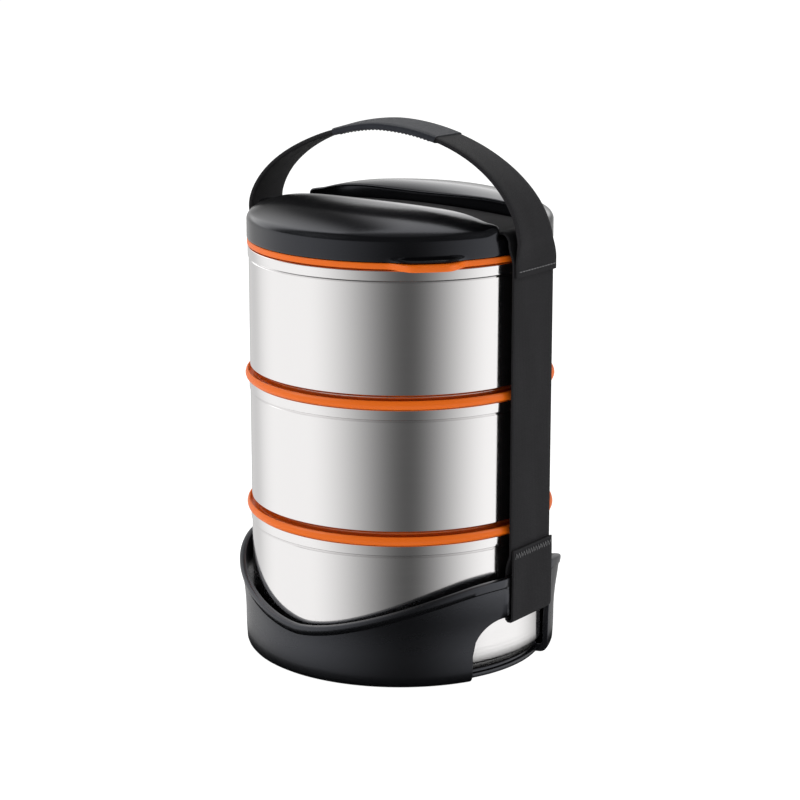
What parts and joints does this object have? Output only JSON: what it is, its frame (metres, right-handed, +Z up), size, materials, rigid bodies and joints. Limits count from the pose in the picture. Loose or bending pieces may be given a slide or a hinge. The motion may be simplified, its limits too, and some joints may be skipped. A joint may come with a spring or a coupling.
{
  "type": "tiffin carrier",
  "caption": "Stack of round steel food containers with sealing orange lids in a black cradle, held by a webbing strap with a soft loop handle over a domed cover.",
  "frame": {"origin": "middle of the cradle's underside, on the ground", "axes": "+Z up along the stack, +X towards one side strap, +Y towards the back"},
  "size_m": [0.1408, 0.1372, 0.231],
  "materials": {
    "cradle_plastic": "satin",
    "cover_plastic": "satin",
    "steel": "satin",
    "orange_plastic": "satin",
    "silicone": "matte",
    "webbing": "woven",
    "label": "woven"
  },
  "bodies": {
    "cradle": {"cradle": "cradle_plastic", "strap_loop_left": "webbing", "strap_loop_right": "webbing", "strap_flex_left": "webbing", "strap_flex_right": "webbing"},
    "container_lower": {"container_lower": "steel"},
    "lid_lower": {"lid_lower": "orange_plastic", "gasket_lower": "silicone"},
    "container_middle": {"container_middle": "steel"},
    "lid_middle": {"lid_middle": "orange_plastic", "gasket_middle": "silicone"},
    "container_upper": {"container_upper": "steel"},
    "lid_upper": {"lid_upper": "orange_plastic", "gasket_upper": "silicone"},
    "cover": {"cover": "cover_plastic"},
    "strap": {"side_strap_left": "webbing", "side_strap_right": "webbing", "hold_down_belt": "webbing", "handle_hem_left": "webbing", "handle_hem_right": "webbing"},
    "handle": {"handle_grip": "webbing", "handle_label": "label"}
  },
  "joints": [
    {"name": "container_lower_lift", "type": "slide", "parent": "cradle", "child": "container_lower", "axis": [0, 0, 1], "range_m": [0, 0.06]},
    {"name": "lid_lower_lift", "type": "slide", "parent": "container_lower", "child": "lid_lower", "axis": [0, 0, 1], "range_m": [0, 0.024]},
    {"name": "container_middle_lift", "type": "slide", "parent": "lid_lower", "child": "container_middle", "axis": [0, 0, 1], "range_m": [0, 0.014]},
    {"name": "lid_middle_lift", "type": "slide", "parent": "container_middle", "child": "lid_middle", "axis": [0, 0, 1], "range_m": [0, 0.024]},
    {"name": "container_upper_lift", "type": "slide", "parent": "lid_middle", "child": "container_upper", "axis": [0, 0, 1], "range_m": [0, 0.014]},
    {"name": "lid_upper_lift", "type": "slide", "parent": "container_upper", "child": "lid_upper", "axis": [0, 0, 1], "range_m": [0, 0.024]},
    {"name": "cover_lift", "type": "slide", "parent": "lid_upper", "child": "cover", "axis": [0, 0, 1], "range_m": [0, 0.024]},
    {"name": "strap_swing", "type": "hinge", "parent": "cradle", "child": "strap", "pos_m": [0, 0, 0.068], "axis": [1, 0, 0], "range_deg": [0, 97.2], "deforming": ["hold_down_belt", "strap_flex_left", "strap_flex_right"]},
    {"name": "handle_tilt", "type": "hinge", "parent": "strap", "child": "handle", "pos_m": [0, 0, 0.182], "axis": [-1, 0, 0], "range_deg": [-42, 42], "stiffness_Nm_per_rad": 0.05, "deforming": ["handle_grip", "handle_label"]}
  ],
  "couplings": [
    {"joint": "lid_lower_lift", "follows": "container_lower_lift", "ratio": 0.4},
    {"joint": "container_middle_lift", "follows": "container_lower_lift", "ratio": 0.23333},
    {"joint": "lid_middle_lift", "follows": "container_lower_lift", "ratio": 0.4},
    {"joint": "container_upper_lift", "follows": "container_lower_lift", "ratio": 0.23333},
    {"joint": "lid_upper_lift", "follows": "container_lower_lift", "ratio": 0.4},
    {"joint": "cover_lift", "follows": "container_lower_lift", "ratio": 0.4},
    {"joint": "strap_swing", "follows": "container_lower_lift", "rad_per_m": 28.2}
  ]
}
